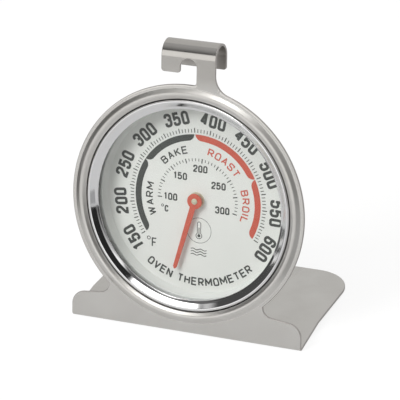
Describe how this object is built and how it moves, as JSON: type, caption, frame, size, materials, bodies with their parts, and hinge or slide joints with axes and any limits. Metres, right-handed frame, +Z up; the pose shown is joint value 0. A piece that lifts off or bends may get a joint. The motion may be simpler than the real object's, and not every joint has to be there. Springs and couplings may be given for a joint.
{
  "type": "oven thermometer",
  "caption": "Bimetal dial oven thermometer in a pressed steel stand with a round chrome-rimmed face, a bent base plate and a rolled rack hook.",
  "frame": {"origin": "on the surface it stands on, under the middle of the object's box", "axes": "+Z up, -Y towards the reader of the dial, +X to the reader's right"},
  "size_m": [0.0762, 0.0492, 0.0889],
  "materials": {
    "stand_steel": "satin stainless sheet with a fine rolled grain",
    "case_steel": "drawn satin steel",
    "spring_steel": "dark spring steel",
    "chrome": "mirror chrome",
    "gasket": "matte heat-proof gasket",
    "glass": "clear polished glass",
    "spacer_grey": "satin grey",
    "dial_white": "baked white enamel with a soft gloss",
    "bush_cream": "pale plated brass",
    "brass": "turned brass",
    "washer_steel": "plated steel",
    "pointer_red": "matte red paint",
    "bimetal": "dull rolled bimetal strip",
    "print_dark": "dark grey screen-printed ink",
    "print_red": "red screen-printed ink"
  },
  "bodies": {
    "root": {"stand_frame": "stand_steel", "rear_case": "case_steel", "case_retaining_ring": "spring_steel", "bezel_ring": "chrome", "lens_gasket": "gasket", "glass_lens": "glass", "spacer_ring": "spacer_grey", "dial_plate": "dial_white", "dial_bush": "bush_cream", "bush_washer": "brass", "pointer_washer": "washer_steel", "bimetal_coil": "bimetal", "coil_anchor": "spring_steel", "anchor_rivets": "washer_steel", "back_bearing": "brass", "thrust_washer": "washer_steel"},
    "pointer": {"pointer": "pointer_red", "pointer_bush": "brass", "pointer_staff": "bush_cream", "coil_collet": "brass"}
  },
  "joints": [
    {"name": "pointer_turn", "type": "hinge", "parent": "root", "child": "pointer", "pos_m": [0, -0.01006, 0.03869], "axis": [0, 0.982, -0.1891], "range_deg": [-26, 283], "stiffness_Nm_per_rad": 0.001, "deforming": ["bimetal_coil"]}
  ]
}
